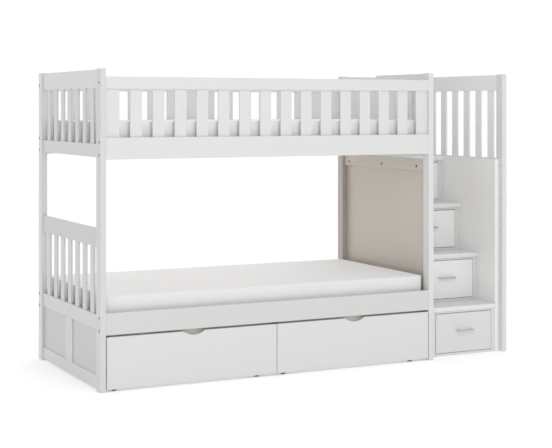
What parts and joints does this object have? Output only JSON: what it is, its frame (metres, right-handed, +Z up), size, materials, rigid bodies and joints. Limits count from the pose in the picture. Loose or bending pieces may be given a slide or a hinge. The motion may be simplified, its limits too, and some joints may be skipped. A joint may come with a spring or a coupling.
{
  "type": "bunk bed with storage",
  "caption": "White twin-over-twin bunk bed with slatted guards, a drawer staircase at its right end and roll-out drawers on casters under the lower bunk.",
  "frame": {"origin": "middle of the footprint's box, on the floor", "axes": "+X along the bed towards the staircase, +Y from the front to the back, +Z up"},
  "size_m": [2.57, 1.072, 1.657],
  "materials": {
    "white_paint": "satin white paint",
    "raw_pine": "sanded bare wood",
    "mattress_fabric": "smooth white knit",
    "satin_steel": "satin nickel",
    "dark_steel": "black oxide",
    "wheel_plastic": "moulded black",
    "fork_metal": "black zinc"
  },
  "bodies": {
    "bed_frame": {"barrel_nuts": "dark_steel", "bed_bolts": "dark_steel", "bed_slats": "raw_pine", "guard_slats": "white_paint", "guard_top_rails": "white_paint", "left_end_slats": "white_paint", "left_lower_bottom_rail": "white_paint", "left_lower_mid_rail": "white_paint", "left_lower_top_rail": "white_paint", "left_panel_stile": "white_paint", "left_panels": "white_paint", "left_upper_bottom_rail": "white_paint", "left_upper_top_rail": "white_paint", "lower_mattress": "mattress_fabric", "lower_side_rails": "white_paint", "post_back_left": "white_paint", "post_back_right": "white_paint", "post_front_left": "white_paint", "post_front_right": "white_paint", "right_end_rails": "white_paint", "right_guard_slats": "white_paint", "right_guard_stile": "white_paint", "right_guard_top_rail": "white_paint", "right_stair_rail": "white_paint", "slat_cleats": "raw_pine", "stair_back_panel": "white_paint", "stair_back_rail": "white_paint", "stair_face_frame": "white_paint", "stair_guard_rails": "white_paint", "stair_guard_slats": "white_paint", "stair_left_panel": "white_paint", "stair_post_back": "white_paint", "stair_post_front": "white_paint", "stair_right_panel": "white_paint", "stair_runners": "raw_pine", "stair_treads": "white_paint", "upper_mattress": "mattress_fabric", "upper_side_rails": "white_paint"},
    "left_drawer": {"left_drawer_front": "white_paint", "left_drawer_box": "raw_pine", "left_drawer_caster_forks": "fork_metal"},
    "left_drawer_front_wheels": {"left_drawer_front_wheels": "wheel_plastic"},
    "left_drawer_rear_wheels": {"left_drawer_rear_wheels": "wheel_plastic"},
    "right_drawer": {"right_drawer_front": "white_paint", "right_drawer_box": "raw_pine", "right_drawer_caster_forks": "fork_metal"},
    "right_drawer_front_wheels": {"right_drawer_front_wheels": "wheel_plastic"},
    "right_drawer_rear_wheels": {"right_drawer_rear_wheels": "wheel_plastic"},
    "stair_drawer_1": {"stair_drawer_1_front": "white_paint", "stair_drawer_1_box": "raw_pine", "stair_drawer_1_pull": "satin_steel"},
    "stair_drawer_2": {"stair_drawer_2_front": "white_paint", "stair_drawer_2_box": "raw_pine", "stair_drawer_2_pull": "satin_steel"},
    "stair_drawer_3": {"stair_drawer_3_front": "white_paint", "stair_drawer_3_box": "raw_pine", "stair_drawer_3_pull": "satin_steel"},
    "stair_drawer_4": {"stair_drawer_4_front": "white_paint", "stair_drawer_4_box": "raw_pine", "stair_drawer_4_pull": "satin_steel"}
  },
  "joints": [
    {"name": "left_drawer_roll", "type": "slide", "parent": "bed_frame", "child": "left_drawer", "axis": [0, -1, 0], "range_m": [0, 0.85]},
    {"name": "left_drawer_front_wheel_turn", "type": "hinge", "parent": "left_drawer", "child": "left_drawer_front_wheels", "pos_m": [-0.761, -0.503, 0.013], "axis": [1, 0, 0], "range_deg": [0, 3747.3]},
    {"name": "left_drawer_rear_wheel_turn", "type": "hinge", "parent": "left_drawer", "child": "left_drawer_rear_wheels", "pos_m": [-0.761, 0.293, 0.013], "axis": [1, 0, 0], "range_deg": [0, 3747.3]},
    {"name": "right_drawer_roll", "type": "slide", "parent": "bed_frame", "child": "right_drawer", "axis": [0, -1, 0], "range_m": [0, 0.85]},
    {"name": "right_drawer_front_wheel_turn", "type": "hinge", "parent": "right_drawer", "child": "right_drawer_front_wheels", "pos_m": [0.215, -0.503, 0.013], "axis": [1, 0, 0], "range_deg": [0, 3747.3]},
    {"name": "right_drawer_rear_wheel_turn", "type": "hinge", "parent": "right_drawer", "child": "right_drawer_rear_wheels", "pos_m": [0.215, 0.293, 0.013], "axis": [1, 0, 0], "range_deg": [0, 3747.3]},
    {"name": "stair_drawer_1_slide", "type": "slide", "parent": "bed_frame", "child": "stair_drawer_1", "axis": [0, -1, 0], "range_m": [0, 0.28]},
    {"name": "stair_drawer_2_slide", "type": "slide", "parent": "bed_frame", "child": "stair_drawer_2", "axis": [0, -1, 0], "range_m": [0, 0.28]},
    {"name": "stair_drawer_3_slide", "type": "slide", "parent": "bed_frame", "child": "stair_drawer_3", "axis": [0, -1, 0], "range_m": [0, 0.28]},
    {"name": "stair_drawer_4_slide", "type": "slide", "parent": "bed_frame", "child": "stair_drawer_4", "axis": [0, -1, 0], "range_m": [0, 0.28]}
  ],
  "couplings": [
    {"joint": "left_drawer_front_wheel_turn", "follows": "left_drawer_roll", "rad_per_m": 76.923},
    {"joint": "left_drawer_rear_wheel_turn", "follows": "left_drawer_roll", "rad_per_m": 76.923},
    {"joint": "right_drawer_front_wheel_turn", "follows": "right_drawer_roll", "rad_per_m": 76.923},
    {"joint": "right_drawer_rear_wheel_turn", "follows": "right_drawer_roll", "rad_per_m": 76.923}
  ]
}
